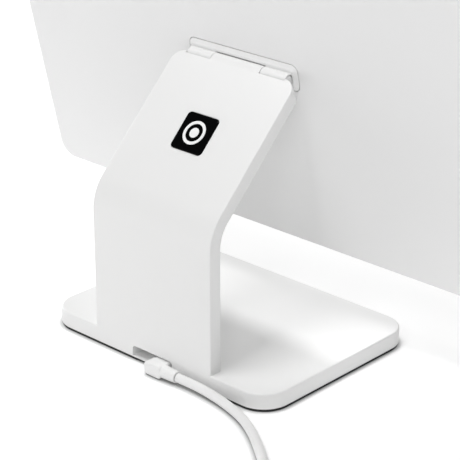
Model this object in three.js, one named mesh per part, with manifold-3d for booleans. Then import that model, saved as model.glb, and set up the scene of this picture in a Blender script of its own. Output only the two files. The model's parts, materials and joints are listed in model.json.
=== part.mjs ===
// Point-of-sale touchscreen terminal: a wide flat screen held at the middle of its back by a
// friction hinge on a bent arm, which rises from the rear edge of a low weighted base.
// Millimetres. +Z is up, +Y is to the rear (the socket side), +X is to the user's right as they
// face the glass. The origin is the middle of the base's underside, on the table.

import * as THREE from 'three';
import { mergeVertices } from 'three/addons/utils/BufferGeometryUtils.js';
import Module from 'manifold-3d';

const wasm = await Module();
wasm.setup();

// driving dimensions

const gap = 0.3;                // between pieces that touch or are screwed together
const overrun = 1;              // how far a cut runs past the face it opens

// base
const baseWidth = 160;
const baseDepth = 116.7;
const baseHeight = 8.7;         // casting only, without its pad
const baseCorner = 16;
const baseEdge = 0.9;           // rounding of the top edge
const baseWall = 2.6;
const baseRoof = 2.4;
const padThickness = 1.5;
const padInset = 0.6;
const ballastThickness = 3;
const baseScrewInset = 15;

// arm
const armWidth = 84.4;
const armThickness = 7.8;
const armSlope = THREE.MathUtils.degToRad(45);
const armBendRadius = 26;       // at the outer face
const armSkin = 2.2;
const armCheek = 7;             // solid edge each side of the cable channel
const armCorner = 7.5;          // rounding of the two free corners beside the hinge
const innerCoverThickness = 1.6;
const innerCoverLedge = 3;

// hinge: its axis runs along X
const hingeY = -8.3;
const hingeZ = 149.2;
const centreKnuckle = 34.2;     // length along the axis, seam to seam
const hingeLength = 68.4;       // over the two outer knuckles
const pinRadius = 1.7;
const knuckleClearance = 0.5;   // round a knuckle that turns past its neighbour
const bandThickness = 0.7;      // friction sleeve
const knuckleEnd = 0.9;         // the free corners stop this far short of the axis
const mountWidth = 75.2;
const mountHeight = 14.9;
const mountRise = 1.6;          // how far the mount stands off the screen's back
const mountSlope = 2.2;         // how far its sides lean in over that rise
const mountCorner = 3.8;

// screen, in its own frame: the hinge axis is its origin, +Y its back, +Z its top edge
const screenLean = THREE.MathUtils.degToRad(12.74);
const screenWidth = 336.6;
const screenHeight = 204.2;
const screenCorner = 10;
const screenBack = 3.2;         // from the hinge axis forward to the flat back
const coverDepth = 12;
const coverWall = 2;
const coverEdge = 1.2;
const glassThickness = 1.8;
const glassInset = 0.4;
const lcdWidth = 316;
const lcdHeight = 186;
const lcdThickness = 1;
const backlightThickness = 1.5;
const frameThickness = 1.2;
const bracketThickness = 1.5;
const boardThickness = 1.4;
const portBoardThickness = 1;

// badge on the sloped part of the arm
const badgeSize = 21.4;
const badgeThickness = 1.2;
const badgeProud = 0.6;
const badgeCorner = 2.2;
const badgeFromHinge = 43.1;

// socket bay in the rear face, and the plug that sits in it
const bayWidth = 29;
const bayFloor = 0.6;           // lip of casting left under the bay
const bayRoof = 2;              // casting left over it
const bayHeight = baseHeight - bayFloor - bayRoof;
const bayCorner = 2;
const socketX = -7.5;
const socketWidth = 8.9;
const socketHeight = 3.2;
const socketDepth = 8.6;
const socketWall = 0.3;
const tipWidth = 7.6;
const tipHeight = 1.9;
const plugWidth = 11.6;
const plugHeight = 7;
const plugReach = 7.6;          // how far the moulded plug stands off the rear face
const plugLift = 0.5;           // its underside above the table
const reliefLength = 9;
const reliefRadius = 3.3;
const cordRadius = 2.5;

// internal lead, from the socket's board to the screen
const leadFill = 0.65;          // share of the arm's channel that it fills
const leadRadius = leadFill * (armThickness - armSkin - innerCoverThickness) / 2;

// power button on the user's right-hand edge
const buttonLength = 11.2;
const buttonThickness = 2.8;
const buttonProud = 0.6;
const buttonTravel = 0.5;
const buttonUp = 55;

// fasteners: countersunk screws
const screwHeadRadius = 2.4;
const screwHeadHeight = 1.4;
const screwRadius = 1.2;
const bossWall = 1.9;

// sizes that follow

const rear = baseDepth / 2;
const baseTop = padThickness + baseHeight;
const halfArm = armThickness / 2;
const knuckleRadius = halfArm;
const hingeRoom = armCorner + knuckleRadius;    // the arm is solid this far from the hinge axis
const outwardY = Math.sin(armSlope);     // normal of the sloped outer face
const outwardZ = Math.cos(armSlope);
const alongY = -Math.cos(armSlope);      // up the slope, towards the hinge
const alongZ = Math.sin(armSlope);
const bendTurn = Math.PI / 2 - armSlope;
const slopeMeetsRear = hingeZ + halfArm * outwardZ
  - (rear - hingeY - halfArm * outwardY) * Math.tan(armSlope);
const bendY = rear - armBendRadius;
const bendZ = slopeMeetsRear - armBendRadius * Math.tan(bendTurn / 2);
const channelHalf = armWidth / 2 - armCheek;
const innerCoverHalf = channelHalf + innerCoverLedge;
const slopeScrew = -(hingeZ - bendZ) / 2;

const backY = -screenBack;
const coverInnerY = backY - coverWall;
const coverFrontY = backY - coverDepth;
const glassBackY = coverFrontY - gap;
const lcdFrontY = coverFrontY;
const lcdBackY = lcdFrontY + lcdThickness;
const backlightBackY = lcdBackY + gap + backlightThickness;
const frameFrontY = backlightBackY + gap;
const frameBackY = frameFrontY + frameThickness;
const bracketBackY = coverInnerY - 0.5;
const bracketFrontY = bracketBackY - bracketThickness;

const bayLow = padThickness + bayFloor;
const bayHigh = bayLow + bayHeight;
const socketZ = (bayLow + bayHigh) / 2;
const plugZ = plugLift + plugHeight / 2;
const plugY = rear + gap + plugReach / 2;
const boardTop = socketZ - socketHeight / 2 - gap;
const ballastTop = padThickness + ballastThickness;
const baseUnderRoof = baseTop - baseRoof;

// materials

const finish = (color, roughness, metalness) =>
  new THREE.MeshStandardMaterial({ color, roughness, metalness });
const whitePaint = finish('#efefee', 0.45, 0);
const whitePlastic = finish('#e8e8e8', 0.5, 0);
const cordPlastic = finish('#ededed', 0.45, 0);
const blackGloss = finish('#0c0c0d', 0.12, 0);
const emblemWhite = finish('#f6f6f6', 0.4, 0);
const rubber = finish('#2b2b2c', 0.85, 0);
const steel = finish('#9c9fa3', 0.35, 1);
const aluminium = finish('#b6b8bb', 0.4, 1);
const boardGreen = finish('#1f5a3c', 0.6, 0);
const darkPlastic = finish('#1b1b1c', 0.5, 0);
const glass = finish('#08090a', 0.05, 0);

// shapes

// merges shared vertices and drops triangles that have closed up on the axis of a turned shape
function welded(geometry) {
  const bare = geometry.clone();
  bare.deleteAttribute('normal');
  bare.deleteAttribute('uv');
  const merged = mergeVertices(bare, 1e-4);
  const kept = [];
  for (let i = 0; i < merged.index.count; i += 3) {
    const [a, b, c] = [0, 1, 2].map((k) => merged.index.getX(i + k));
    if (a !== b && b !== c && c !== a) kept.push(a, b, c);
  }
  merged.setIndex(kept);
  return merged;
}

function solid(geometry) {
  const merged = welded(geometry);
  return new wasm.Manifold(new wasm.Mesh({
    numProp: 3,
    vertProperties: Float32Array.from(merged.attributes.position.array),
    triVerts: Uint32Array.from(merged.index.array),
  }));
}

function geometryOf(body) {
  const cut = body.getMesh();
  const geometry = new THREE.BufferGeometry();
  geometry.setAttribute('position', new THREE.BufferAttribute(cut.vertProperties, 3));
  geometry.setIndex(new THREE.BufferAttribute(cut.triVerts, 1));
  geometry.computeVertexNormals();
  return geometry;
}

const joined = (first, ...others) => others.reduce((sum, part) => sum.add(part), first);
const without = (first, ...others) => others.reduce((rest, part) => rest.subtract(part), first);

function place(parent, name, shape, material) {
  const geometry = shape instanceof THREE.BufferGeometry ? welded(shape) : geometryOf(shape);
  geometry.computeVertexNormals();
  const mesh = new THREE.Mesh(geometry, material);
  mesh.name = name;
  parent.add(mesh);
  return mesh;
}

// a box between two corners
function block(x0, x1, y0, y1, z0, z1) {
  const box = new THREE.BoxGeometry(x1 - x0, y1 - y0, z1 - z0);
  return box.translate((x0 + x1) / 2, (y0 + y1) / 2, (z0 + z1) / 2);
}

function roundedRectangle(width, height, corner) {
  const w = width / 2;
  const h = height / 2;
  const r = Math.min(corner, w, h);
  const shape = new THREE.Shape();
  shape.moveTo(-w + r, -h);
  shape.lineTo(w - r, -h).absarc(w - r, -h + r, r, -Math.PI / 2, 0, false);
  shape.lineTo(w, h - r).absarc(w - r, h - r, r, 0, Math.PI / 2, false);
  shape.lineTo(-w + r, h).absarc(-w + r, h - r, r, Math.PI / 2, Math.PI, false);
  shape.lineTo(-w, -h + r).absarc(-w + r, -h + r, r, Math.PI, Math.PI * 1.5, false);
  return shape;
}

const plain = (depth, curveSegments = 6) => ({ depth, bevelEnabled: false, curveSegments });

// a shape drawn in X and Y, standing between two heights
function upright(shape, z0, z1) {
  return new THREE.ExtrudeGeometry(shape, plain(z1 - z0)).translate(0, 0, z0);
}

// a shape drawn in X and Z, between two places along Y
function panel(shape, y0, y1) {
  return new THREE.ExtrudeGeometry(shape, plain(y1 - y0)).rotateX(Math.PI / 2).translate(0, y1, 0);
}

// a shape drawn in Y and Z, between two places along X
function profile(shape, x0, x1, segments = 8) {
  const sideways = new THREE.Matrix4().makeBasis(
    new THREE.Vector3(0, 1, 0), new THREE.Vector3(0, 0, 1), new THREE.Vector3(1, 0, 0));
  const geometry = new THREE.ExtrudeGeometry(shape, plain(x1 - x0, segments));
  return geometry.applyMatrix4(sideways).translate(x0, 0, 0);
}

// a moulded block from y = 0 to y = length, all its edges rounded over
function moulded(width, height, length, edge) {
  const shape = roundedRectangle(width - 2 * edge, height - 2 * edge, edge / 2);
  return new THREE.ExtrudeGeometry(shape, {
    depth: length - 2 * edge, bevelEnabled: true, bevelThickness: edge, bevelSize: edge,
    bevelSegments: 2, curveSegments: 2,
  }).rotateX(Math.PI / 2).translate(0, length - edge, 0);
}

// a round bar along X, about the hinge axis when y and z are left out
function barX(radius, x0, x1, y = 0, z = 0, sides = 28) {
  const bar = new THREE.CylinderGeometry(radius, radius, x1 - x0, sides).rotateZ(-Math.PI / 2);
  return bar.translate((x0 + x1) / 2, y, z);
}

// a turned piece: pairs of radius and height, from the axis and back to it
function turned(points, sides = 10) {
  const outline = points.map(([radius, height]) => new THREE.Vector2(radius, height));
  return new THREE.LatheGeometry(outline, sides);
}

// countersunk screw along +Y, its flat head at the origin facing -Y
function screw(length, head = screwHeadRadius, shank = screwRadius) {
  const slot = 0.35 * head;
  return turned([
    [0, length], [0.6 * shank, length], [shank, length - 0.4 * shank],
    [shank, screwHeadHeight], [head, 0.25], [head, 0], [slot, 0], [slot, 0.5], [0, 0.5],
  ].reverse());
}

// the hole that such a screw needs in the piece under its head
function screwSeat(length, head = screwHeadRadius, shank = screwRadius) {
  return turned([
    [0, -overrun], [head + gap, -overrun], [head + gap, 0.25 + gap],
    [shank + gap, screwHeadHeight + gap], [shank + gap, length], [0, length],
  ]);
}

// a round cord: a many-sided section carried along a smooth curve through its points
function cordAlong(points, radius, sides, steps) {
  const path = new THREE.CatmullRomCurve3(points.map((p) => new THREE.Vector3(...p)), false, 'centripetal');
  const section = new THREE.Shape();
  for (let k = 0; k < sides; k += 1) {
    const angle = ((k + 0.5) * 2 * Math.PI) / sides;
    const [x, y] = [radius * Math.cos(angle), radius * Math.sin(angle)];
    if (k === 0) section.moveTo(x, y);
    else section.lineTo(x, y);
  }
  return new THREE.ExtrudeGeometry(section, { steps, extrudePath: path, bevelEnabled: false });
}

// base and arm: one casting

// a point on the slope: s up the slope from the hinge axis, d in from the outer face
const slopePoint = (s, d) => [
  hingeY + alongY * s + outwardY * (halfArm - d),
  hingeZ + alongZ * s + outwardZ * (halfArm - d),
];

// the layer of the bent arm between depths outer and inner, from height z0 up to s1 on the slope
function armLayer(outer, inner, z0, s1, innerShort = 0) {
  const shape = new THREE.Shape();
  shape.moveTo(rear - outer, z0);
  shape.lineTo(rear - outer, bendZ);
  shape.absarc(bendY, bendZ, armBendRadius - outer, 0, bendTurn, false);
  shape.lineTo(...slopePoint(s1, outer));
  if (innerShort) shape.lineTo(...slopePoint(s1 - innerShort * 0.35, (outer + inner) / 2 + innerShort * 0.2));
  shape.lineTo(...slopePoint(s1 - innerShort, inner));
  shape.absarc(bendY, bendZ, armBendRadius - inner, bendTurn, 0, true);
  shape.lineTo(rear - inner, z0);
  return shape;
}

// geometry drawn with its Y along the outward normal and its Z up the slope, at s from the hinge
function onSlope(geometry, s, d = 0) {
  const [y, z] = slopePoint(s, d);
  return geometry.rotateX(Math.PI / 2 - armSlope).translate(0, y, z);
}

const baseScrewSpots = [1, -1].flatMap((side) => [1, -1].map((end) => [
  side * (baseWidth / 2 - baseScrewInset), end * (baseDepth / 2 - baseScrewInset)]));
const screwBoss = screwRadius + bossWall;
const innerScrewX = channelHalf - screwBoss - 2;
const innerScrewLength = armThickness - armSkin + 0.8;
const badgePocket = badgeThickness - badgeProud;

function castingSolid() {
  const outline = roundedRectangle(baseWidth - 2 * baseEdge, baseDepth - 2 * baseEdge, baseCorner - baseEdge);
  const plate = new THREE.ExtrudeGeometry(outline, {
    depth: baseHeight, bevelEnabled: true, bevelThickness: baseEdge, bevelSize: baseEdge,
    bevelSegments: 2, curveSegments: 7,
  }).translate(0, 0, padThickness - baseEdge);
  const belowPad = block(-baseWidth, baseWidth, -baseDepth, baseDepth, -baseHeight, padThickness);
  const baseBlock = without(solid(plate), solid(belowPad));

  const armStop = -knuckleEnd;
  const armFull = solid(profile(armLayer(0, armThickness, padThickness, armStop, halfArm),
    -armWidth / 2, armWidth / 2));
  const plan = roundedRectangle(armWidth, 4 * hingeZ, armCorner);
  const planCut = solid(onSlope(panel(plan, -4 * hingeZ, overrun), armStop - 2 * hingeZ));
  const arm = armFull.intersect(planCut);

  const half = centreKnuckle / 2;
  const knuckle = joined(
    solid(onSlope(block(-half + gap / 2, half - gap / 2, -armThickness, 0, -armCorner, 0), 0)),
    solid(barX(knuckleRadius, -half + gap / 2, half - gap / 2, hingeY, hingeZ)));

  const cavity = solid(upright(
    roundedRectangle(baseWidth - 2 * baseWall, baseDepth - 2 * baseWall, baseCorner - baseWall),
    0, baseUnderRoof));
  const channel = solid(profile(
    armLayer(armSkin, armThickness + overrun, baseTop, -hingeRoom), -channelHalf, channelHalf));
  const throat = solid(block(-channelHalf, channelHalf, rear - armThickness, rear - armSkin,
    baseUnderRoof - overrun, baseTop + overrun));
  const rebate = solid(profile(
    armLayer(armThickness - innerCoverThickness - gap, armThickness + overrun, baseTop,
      -hingeRoom + innerCoverLedge), -innerCoverHalf, innerCoverHalf));

  const outerHalf = hingeLength / 2 + gap;
  const notchRadius = knuckleRadius + knuckleClearance;
  const notches = [1, -1].map((side) => {
    const [near, far] = side > 0 ? [half - gap / 2, outerHalf] : [-outerHalf, -half + gap / 2];
    return solid(barX(notchRadius, near, far, hingeY, hingeZ));
  });
  const pinBore = solid(barX(pinRadius + gap, -half - overrun, half + overrun, hingeY, hingeZ, 16));

  const bay = new THREE.Shape();
  const [bayX, top] = [bayWidth / 2, bayHigh];
  bay.moveTo(-bayX, bayLow);
  bay.lineTo(bayX, bayLow).lineTo(bayX, top - bayCorner);
  bay.absarc(bayX - bayCorner, top - bayCorner, bayCorner, 0, Math.PI / 2, false);
  bay.lineTo(-bayX + bayCorner, top);
  bay.absarc(-bayX + bayCorner, top - bayCorner, bayCorner, Math.PI / 2, Math.PI, false);
  const bayCut = solid(panel(bay, rear - baseWall - overrun, rear + overrun));

  const badgeSeat = solid(onSlope(
    panel(roundedRectangle(badgeSize + 2 * gap, badgeSize + 2 * gap, badgeCorner + gap),
      -badgePocket - gap, overrun), -badgeFromHinge));

  const bosses = baseScrewSpots.map(([x, y]) => solid(
    new THREE.CylinderGeometry(screwBoss, screwBoss, baseTop - 1 - ballastTop - gap, 12)
      .rotateX(Math.PI / 2).translate(x, y, (baseTop - 1 + ballastTop + gap) / 2)));
  const baseBores = baseScrewSpots.map(([x, y]) => solid(
    new THREE.CylinderGeometry(screwRadius + gap, screwRadius + gap, baseUnderRoof + 0.6 - ballastTop, 10)
      .rotateX(Math.PI / 2).translate(x, y, (baseUnderRoof + 0.6 + ballastTop) / 2)));

  const bossLength = armThickness - armSkin - innerCoverThickness - gap;
  const innerBosses = [1, -1].map((side) => solid(onSlope(
    new THREE.CylinderGeometry(screwBoss, screwBoss, bossLength + 0.5, 12)
      .translate(side * innerScrewX, 0, 0), slopeScrew, armSkin + bossLength / 2 - 0.25)));
  const innerBores = [1, -1].map((side) => solid(onSlope(
    new THREE.CylinderGeometry(screwRadius + gap, screwRadius + gap, innerScrewLength, 10)
      .translate(side * innerScrewX, 0, 0), slopeScrew, armThickness - innerScrewLength / 2 + 0.3)));

  const boardBosses = boardScrewSpots.map(([x, y]) => solid(
    new THREE.CylinderGeometry(1.9, 1.9, baseTop - 1 - boardTop - gap, 10)
      .rotateX(Math.PI / 2).translate(x, y, (baseTop - 1 + boardTop + gap) / 2)));
  const boardBores = boardScrewSpots.map(([x, y]) => solid(
    new THREE.CylinderGeometry(0.8 + gap, 0.8 + gap, baseTop - 1.4 - boardTop, 12)
      .rotateX(Math.PI / 2).translate(x, y, (baseTop - 1.4 + boardTop) / 2)));

  const leadHole = solid(onSlope(
    new THREE.CylinderGeometry(leadRadius + gap, leadRadius + gap, hingeRoom + overrun, 10)
      .rotateX(Math.PI / 2), -(hingeRoom + overrun) / 2, halfArm));
  const leadWindow = solid(profile(sector(leadWindowFrom, leadWindowTo, 2 * knuckleRadius),
    -leadRadius - 0.8, leadRadius + 0.8));

  const shell = without(joined(baseBlock, without(arm, ...notches), knuckle),
    cavity, throat, channel, rebate);
  return without(joined(shell, ...innerBosses, ...bosses, ...boardBosses), pinBore, bayCut,
    badgeSeat, ...baseBores, ...innerBores, ...boardBores, leadHole, leadWindow);
}

// a wedge about the hinge axis, between two directions turned from +Y towards +Z
function sector(from, to, radius) {
  const shape = new THREE.Shape();
  shape.moveTo(hingeY, hingeZ);
  for (let k = 0; k <= 6; k += 1) {
    const angle = from + ((to - from) * k) / 6;
    shape.lineTo(hingeY + radius * Math.cos(angle), hingeZ + radius * Math.sin(angle));
  }
  return shape;
}

const leadX = bayWidth / 2 + 7;
const leadWindowFrom = THREE.MathUtils.degToRad(128);
const leadWindowTo = THREE.MathUtils.degToRad(252);
const portBoardHalf = 7;
const portBoardLength = 22;
const portBoardFront = rear - baseWall - 1 - portBoardLength;
const boardScrewSpots = [1, -1].map((side) => [
  socketX + side * (portBoardHalf - 2.2), portBoardFront + 3]);

const terminal = new THREE.Group();
const stand = new THREE.Group();
terminal.add(stand);

place(stand, 'stand_casting', castingSolid(), whitePaint);

// the plate that closes the cable channel along the arm's inner face, and its two screws
const innerCoverEnd = innerCoverLedge - hingeRoom - gap;
const innerCover = without(
  solid(profile(armLayer(armThickness - innerCoverThickness, armThickness, baseTop + gap, innerCoverEnd),
    -innerCoverHalf + gap, innerCoverHalf - gap)),
  ...[1, -1].map((side) => solid(onSlope(
    screwSeat(3, screwHeadRadius).translate(side * innerScrewX, 0, 0), slopeScrew, armThickness))));
place(stand, 'arm_inner_cover', innerCover, whitePaint);
[1, -1].forEach((side, i) => place(stand, `arm_cover_screw_${i + 1}`, onSlope(
  screw(innerScrewLength - 0.8).translate(side * innerScrewX, gap / 2, 0), slopeScrew, armThickness), steel));

// ballast plate that closes the base from below, cut back round the socket bay
const ballastOutline = roundedRectangle(baseWidth - 2 * (baseWall + gap), baseDepth - 2 * (baseWall + gap),
  baseCorner - baseWall - gap);
const bayRoomHalf = leadX + leadRadius + 2;
const bayRoom = block(-bayRoomHalf, bayRoomHalf, portBoardFront - 2, baseDepth, 0, baseTop);
const ballast = without(solid(upright(ballastOutline, padThickness, ballastTop)), solid(bayRoom),
  ...baseScrewSpots.map(([x, y]) => solid(screwSeat(ballastThickness + overrun)
    .rotateX(Math.PI / 2).translate(x, y, padThickness))));
place(stand, 'ballast_plate', ballast, steel);
baseScrewSpots.forEach(([x, y], i) => place(stand, `base_screw_${i + 1}`,
  screw(baseUnderRoof - padThickness).rotateX(Math.PI / 2).translate(x, y, padThickness + gap / 2), steel));

// rubber pad under the whole base, with a shallow bite under the bay
const padOutline = roundedRectangle(baseWidth - 2 * padInset, baseDepth - 2 * padInset,
  baseCorner - padInset);
const padBiteHalf = bayWidth / 2 - 2.5;
const padBite = block(-padBiteHalf, padBiteHalf, rear - 2 * padInset, rear, -overrun, baseTop);
const pad = without(solid(upright(padOutline, 0, padThickness - gap / 3)), solid(padBite));
place(stand, 'foot_pad', pad, rubber);

// socket on its small board, behind the bay
const socketMouth = rear - baseWall - 0.6;
const boardLow = boardTop - portBoardThickness;
const portBoard = without(
  solid(block(socketX - portBoardHalf, socketX + portBoardHalf, portBoardFront,
    portBoardFront + portBoardLength, boardLow, boardTop)),
  ...boardScrewSpots.map(([x, y]) => solid(new THREE.CylinderGeometry(0.8 + gap, 0.8 + gap, 4, 12)
    .rotateX(Math.PI / 2).translate(x, y, boardTop))));
place(stand, 'port_board', portBoard, boardGreen);
boardScrewSpots.forEach(([x, y], i) => place(stand, `board_screw_${i + 1}`,
  turned([[0, 0], [1.6, 0], [1.6, 0.5], [0.8, 0.5], [0.8, 4], [0, 4]], 12)
    .rotateX(Math.PI / 2).translate(x, y, boardLow - 0.5 - gap / 2), steel));
const socketOuter = roundedRectangle(socketWidth, socketHeight, socketHeight / 2);
const socketInner = roundedRectangle(socketWidth - 2 * socketWall, socketHeight - 2 * socketWall,
  socketHeight / 2);
const socket = without(
  solid(panel(socketOuter, socketMouth - socketDepth, socketMouth)),
  solid(panel(socketInner, socketMouth - socketDepth + 1, socketMouth + overrun)));
place(stand, 'port_socket', geometryOf(socket).translate(socketX, 0, socketZ), steel);
place(stand, 'port_tongue', block(socketX - 2.9, socketX + 2.9, socketMouth - socketDepth + 1 + gap,
  socketMouth - 1.4, socketZ - 0.15, socketZ + 0.15), darkPlastic);

// badge: a glossy plaque let into the slope, with a plain ring and dot
const badgeGroup = new THREE.Group();
const [badgeY, badgeZ] = slopePoint(-badgeFromHinge, 0);
badgeGroup.position.set(0, badgeY, badgeZ);
badgeGroup.rotation.x = Math.PI / 2 - armSlope;
stand.add(badgeGroup);
const badgeBevel = 0.5;
const badgePlate = new THREE.ExtrudeGeometry(
  roundedRectangle(badgeSize - 2 * badgeBevel, badgeSize - 2 * badgeBevel, badgeCorner - badgeBevel), {
    depth: badgeThickness, bevelEnabled: true, bevelThickness: badgeBevel, bevelSize: badgeBevel,
    bevelSegments: 2, curveSegments: 6,
  }).rotateX(Math.PI / 2).translate(0, badgeProud - badgeBevel, 0);
const badgeBack = block(-badgeSize, badgeSize, -2 * badgeThickness, -badgePocket, -badgeSize, badgeSize);
place(badgeGroup, 'badge_plate', without(solid(badgePlate), solid(badgeBack)), blackGloss);
const emblemLow = badgeProud + 0.1;
const emblemHigh = badgeProud + 0.35;
const emblemRadius = 0.32 * badgeSize;
const ringInner = emblemRadius - 1.7;
const dotRadius = emblemRadius - 4;
place(badgeGroup, 'badge_ring', turned([
  [ringInner, emblemLow], [emblemRadius, emblemLow], [emblemRadius, emblemHigh],
  [ringInner, emblemHigh], [ringInner, emblemLow]], 28), emblemWhite);
place(badgeGroup, 'badge_dot', turned([
  [0, emblemLow], [dotRadius, emblemLow], [dotRadius, emblemHigh], [0, emblemHigh]], 20), emblemWhite);

// lead from the socket's board, up the channel and into the middle of the hinge
const leadD = (armSkin + armThickness - innerCoverThickness) / 2;
const leadZ = boardTop + leadRadius + gap;
const channelY = rear - leadD;
const leadPoints = [
  [socketX, portBoardFront + 9, leadZ],
  [socketX + 7, portBoardFront + 9, leadZ],
  [socketX + 15, portBoardFront + 9, leadZ],
  [leadX - 6, portBoardFront + 9.4, leadZ],
  [leadX - 1, portBoardFront + 11, leadZ],
  [leadX, channelY - 6.5, leadZ],
  [leadX, channelY - 2.2, leadZ + 0.7],
  [leadX, channelY - 0.2, leadZ + 3],
  [leadX, channelY, leadZ + 7],
  [leadX, channelY, (leadZ + bendZ) / 2],
  [leadX, channelY, bendZ],
  [leadX, bendY + (armBendRadius - leadD) * Math.cos(bendTurn / 2),
    bendZ + (armBendRadius - leadD) * Math.sin(bendTurn / 2)],
  [leadX, bendY + (armBendRadius - leadD) * Math.cos(bendTurn),
    bendZ + (armBendRadius - leadD) * Math.sin(bendTurn)],
  [leadX * 0.85, ...slopePoint(-48, leadD)],
  [leadX * 0.45, ...slopePoint(-37, leadD)],
  [leadX * 0.12, ...slopePoint(-28, leadD)],
  [0, ...slopePoint(-21, halfArm)],
  [0, ...slopePoint(-15, halfArm)],
  [0, ...slopePoint(-8, halfArm)],
  [0, ...slopePoint(-gap, halfArm)],
];
place(stand, 'arm_lead', cordAlong(leadPoints, leadRadius, 8, 56), darkPlastic);

// screen, turned about the hinge axis

const screen = new THREE.Group();
screen.position.set(0, hingeY, hingeZ);
screen.rotation.x = -screenLean;
terminal.add(screen);

// stub pins: they belong to the stand but lie on the hinge axis
const pinInner = 2 * leadRadius + 2.4;
const pinOuter = hingeLength / 2 - 2.4;
const bandInner = pinRadius + gap;
const bandOuter = bandInner + bandThickness;
const bandBore = bandOuter + gap;
const bandSlit = 1.2;
const sides = [['right', 1], ['left', -1]];
const span = (side, near, far) => (side > 0 ? [near, far] : [-far, -near]);
for (const [word, side] of sides) {
  const [x0, x1] = span(side, pinInner, pinOuter);
  place(stand, `hinge_pin_${word}`, barX(pinRadius, x0, x1, hingeY, hingeZ, 16), steel);
}

// hinge mount: a low sloped foot on the screen's back that carries the two outer knuckles
const mountBoss = [mountWidth - 2 * mountSlope - 1, mountHeight - 2 * mountSlope + 2];
const mountScrewX = mountWidth / 2 - 8;
const mountScrewZ = mountHeight / 2 - 2.6;
const mountScrewRadius = 0.9;
const half = centreKnuckle / 2;
const knuckleWeb = 0.8 * knuckleRadius;
const leadPortZ = -2.9;
function hingeMountSolid() {
  const footDepth = mountRise + gap;
  const foot = new THREE.ExtrudeGeometry(
    roundedRectangle(mountWidth - 2 * mountSlope, mountHeight - 2 * mountSlope, mountCorner - mountSlope), {
      depth: footDepth, bevelEnabled: true, bevelThickness: mountRise, bevelSize: mountSlope,
      bevelSegments: 1, curveSegments: 6,
    }).rotateX(Math.PI / 2).translate(0, backY, 0);
  const footBack = block(-mountWidth, mountWidth, -4 * screenBack, backY - gap, -mountHeight, mountHeight);
  const boss = panel(roundedRectangle(...mountBoss, 2), coverInnerY - 0.2, backY);
  const knuckles = sides.map(([, side]) => {
    const [x0, x1] = span(side, half + gap / 2, hingeLength / 2);
    return joined(solid(barX(knuckleRadius, x0, x1)),
      solid(block(x0, x1, backY, 0, -knuckleWeb, knuckleWeb)));
  });
  const groove = solid(barX(knuckleRadius + knuckleClearance, -half - gap / 2, half + gap / 2));
  const bores = sides.map(([, side]) => {
    const [x0, x1] = span(side, half - overrun, hingeLength / 2 + overrun);
    return solid(barX(bandBore, x0, x1, 0, 0, 16));
  });
  const screwHoles = mountScrewSpots.map(([x, z]) => solid(
    new THREE.CylinderGeometry(mountScrewRadius + gap, mountScrewRadius + gap, 4, 12)
      .translate(x, coverInnerY + 0.6, z)));
  const leadPort = solid(new THREE.CylinderGeometry(leadRadius + gap, leadRadius + gap, 8, 10)
    .translate(0, backY - 2, leadPortZ));
  return without(
    joined(without(solid(foot), solid(footBack)), solid(boss), ...knuckles),
    groove, ...bores, ...screwHoles, leadPort);
}
const mountScrewSpots = [1, -1].flatMap((side) => [1, -1].map((end) => [
  side * mountScrewX, end * mountScrewZ]));
place(screen, 'hinge_mount', hingeMountSolid(), whitePaint);

for (const [word, side] of sides) {
  const [x0, x1] = span(side, half + gap, pinOuter);
  const through = [x0 - overrun, x1 + overrun];
  const band = without(solid(barX(bandOuter, x0, x1, 0, 0, 16)),
    solid(barX(bandInner, ...through, 0, 0, 16)),
    solid(block(...through, -bandSlit / 2, bandSlit / 2, -2 * bandOuter, 0)));
  place(screen, `friction_band_${word}`, band, steel);
  const [c0, c1] = span(side, pinOuter + gap, hingeLength / 2);
  place(screen, `hinge_cap_${word}`, barX(bandOuter, c0, c1, 0, 0, 16), whitePlastic);
}

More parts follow.
